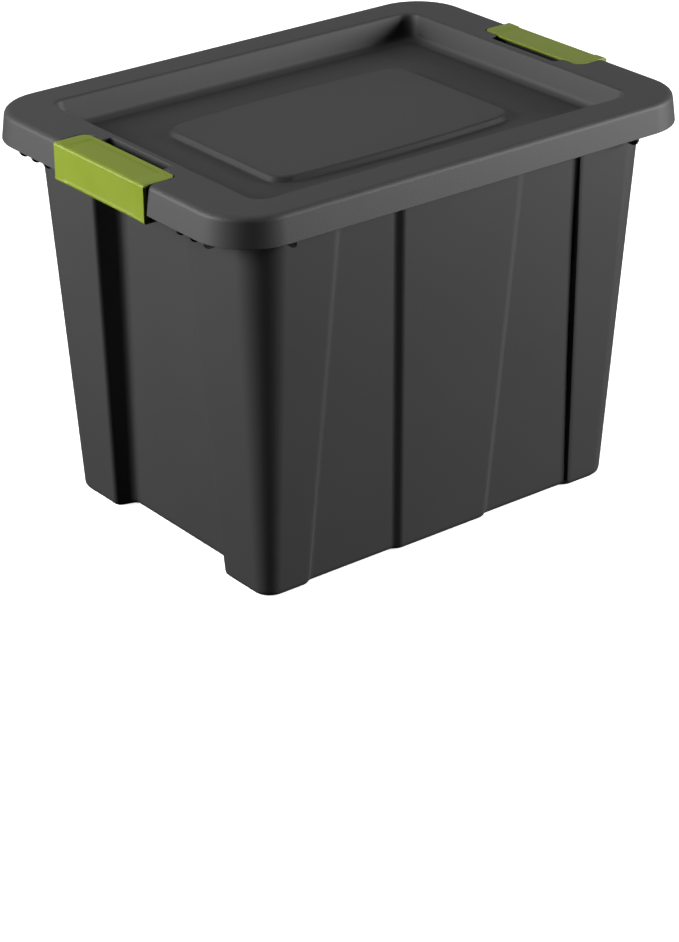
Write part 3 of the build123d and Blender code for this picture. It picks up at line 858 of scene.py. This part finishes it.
def make_latch():
    """The right-hand latch: flap, face and lip in one wall, then its hinge and snap bead."""
    low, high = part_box("latch_right")
    face_in = high.x - LATCH_WALL
    flap_under = high.z - LATCH_WALL
    lip_top = low.z + LATCH_WALL
    notches = [side * LUG_Y + edge for side in (-1, 1) for edge in (-LUG_CLEAR, LUG_CLEAR)]
    latch = start_piece("latch_right_moulding")
    bpy.ops.mesh.primitive_cube_add(
        size=1,
        location=((low.x + high.x) / 2, 0, (flap_under + high.z) / 2),
        scale=(high.x - low.x, high.y - low.y, LATCH_WALL),
    )
    cut_all([(face_in, 0, 0)], (1, 0, 0))
    cut_all([(0, y, 0) for y in notches], (0, 1, 0))

    # The face hangs from the flap's outer strip, and the lip turns in at its foot
    pick("FACE", lambda at, out: out.z < -ALONG and at.x > face_in)
    push((0, 0, lip_top - flap_under))
    push((0, 0, -LATCH_WALL))
    pick("FACE", lambda at, out: out.x < -ALONG and at.z < lip_top and abs(abs(at.y) - LUG_Y) > LUG_CLEAR)
    push((high.x - LATCH_LIP_REACH - face_in, 0, 0))
    pick("EDGE", lambda at, way: at.x < low.x + TINY and abs(way.z) > ALONG and abs(at.y) > high.y - TINY)
    bpy.ops.mesh.bevel(offset=FLAP_CORNER_R, segments=8)
    pick("EDGE", lambda at, way: at.x > high.x - TINY and abs(way.y) > ALONG
         and min(at.z - low.z, high.z - at.z) < TINY)
    bpy.ops.mesh.bevel(offset=LATCH_BEND_R, segments=6)

    # Flap and face are dished a little inside a raised border
    end = high.y - DISH_FROM_END
    for y in (end, end + DISH_SLOPE):
        cut_all([(0, -y, 0), (0, y, 0)], (0, 1, 0))
    edge = DISH_FROM_EDGE
    cut_all([(low.x + edge, 0, 0), (low.x + edge + DISH_SLOPE, 0, 0)], (1, 0, 0))
    cut_all([(0, 0, low.z + edge), (0, 0, low.z + edge + DISH_SLOPE)], (0, 0, 1))
    pick("FACE", lambda at, out: abs(at.y) < end and at.x > low.x + edge + DISH_SLOPE
         and at.z > low.z + edge + DISH_SLOPE
         and (at.x > face_in + LATCH_WALL / 2 or at.z > flap_under + TINY)
         and out.x + out.z > ALONG and abs(out.y) < ACROSS)
    bpy.ops.transform.shrink_fatten(value=-DISH_DEPTH)

    # Cheeks with round eyes on both sides of each lug, and the pin moulded through them
    for lug in (-LUG_Y, LUG_Y):
        add_rod((PIN_X, lug, PIN_Z), PIN_R, 2 * LUG_CLEAR + CHEEK)
        for side in (-1, 1):
            y = lug + side * (LUG_CLEAR + CHEEK / 2)
            add_rod((PIN_X, y, PIN_Z), EYE_R, CHEEK)
            foot = low.z + LATCH_WALL / 2
            add_block((PIN_X - EYE_R, y - CHEEK / 2, foot), (PIN_X + EYE_R, y + CHEEK / 2, PIN_Z))
            inside_face = (face_in + LATCH_WALL / 3, y + CHEEK / 2, PIN_Z + EYE_R)
            add_block((PIN_X, y - CHEEK / 2, foot), inside_face)

    # A low return along each end of the face, and the snap bead under the flap
    for side in (-1, 1):
        y_low, y_high = sorted((side * (high.y - RETURN_WALL), side * (high.y - RETURN_INSET)))
        low_corner = (RETURN_X, y_low, lip_top - LATCH_WALL / 2)
        add_block(low_corner, (face_in + LATCH_WALL / 3, y_high, flap_under + LATCH_WALL / 3))
    bead_z = flap_under + SNAP_BEAD_SINK
    add_rod((low.x + SNAP_BEAD_INSET, 0, bead_z), SNAP_BEAD_R, high.y - low.y - 2 * FLAP_CORNER_R)
    finish_piece(LATCH_EDGE_SOFT, 2)
    return latch


latch_right = make_latch()
bpy.ops.object.select_all(action="DESELECT")
latch_right.select_set(True)
bpy.ops.object.duplicate()
latch_left = bpy.context.object
latch_left.name = "latch_left_moulding"
latch_left.rotation_euler.z = math.pi
bpy.ops.object.transform_apply(location=True, rotation=True, scale=True)
lime = lime_plastic()
for piece, node in ((latch_right, "latch_right"), (latch_left, "latch_left")):
    piece.data.materials.append(lime)
    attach(piece, node)
    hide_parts(node)
